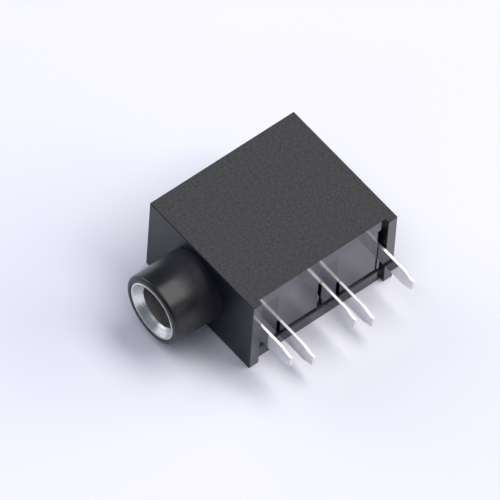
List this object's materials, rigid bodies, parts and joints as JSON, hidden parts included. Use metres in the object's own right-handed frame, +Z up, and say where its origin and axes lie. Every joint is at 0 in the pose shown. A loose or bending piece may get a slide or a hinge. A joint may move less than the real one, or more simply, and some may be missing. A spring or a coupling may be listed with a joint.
{
  "type": "audio jack socket",
  "caption": "Right-angle board socket for a 3.5 mm stereo plug: black moulded housing with a round nose, a metal-lined bore, flat solder blades and sprung switch contacts.",
  "frame": {"origin": "centre of the part's box, on the flat side that the loose part lies on", "axes": "+Z up from that side, -Y out of the plug mouth, +X the way the solder blades point, towards the board that the part is fitted to"},
  "size_m": [0.0158, 0.0184, 0.0077],
  "materials": {
    "housing_plastic": "fine spark-eroded grain, black",
    "cover_plastic": "polished, black",
    "bushing_nickel": "turned and nickel plated",
    "terminal_tin": "copper alloy strip with bright tin plating"
  },
  "bodies": {
    "base": {"housing": "housing_plastic", "bottom_cover": "cover_plastic", "sleeve_bushing": "bushing_nickel", "sleeve_terminal": "terminal_tin", "ring_switch_terminal": "terminal_tin", "ring_terminal": "terminal_tin", "tip_switch_terminal": "terminal_tin", "tip_terminal": "terminal_tin"},
    "ring_leaf": {"ring_spring": "terminal_tin"},
    "tip_leaf": {"tip_spring": "terminal_tin"}
  },
  "joints": [
    {"name": "ring_spring_flex", "type": "hinge", "parent": "base", "child": "ring_leaf", "pos_m": [0.0007, 0.00191, 0.00345], "axis": [0, 0, 1], "range_deg": [0, 12], "stiffness_Nm_per_rad": 0.02},
    {"name": "tip_spring_flex", "type": "hinge", "parent": "base", "child": "tip_leaf", "pos_m": [0.00088, 0.00755, 0.00355], "axis": [0, 0, 1], "range_deg": [0, 7], "stiffness_Nm_per_rad": 0.03}
  ]
}
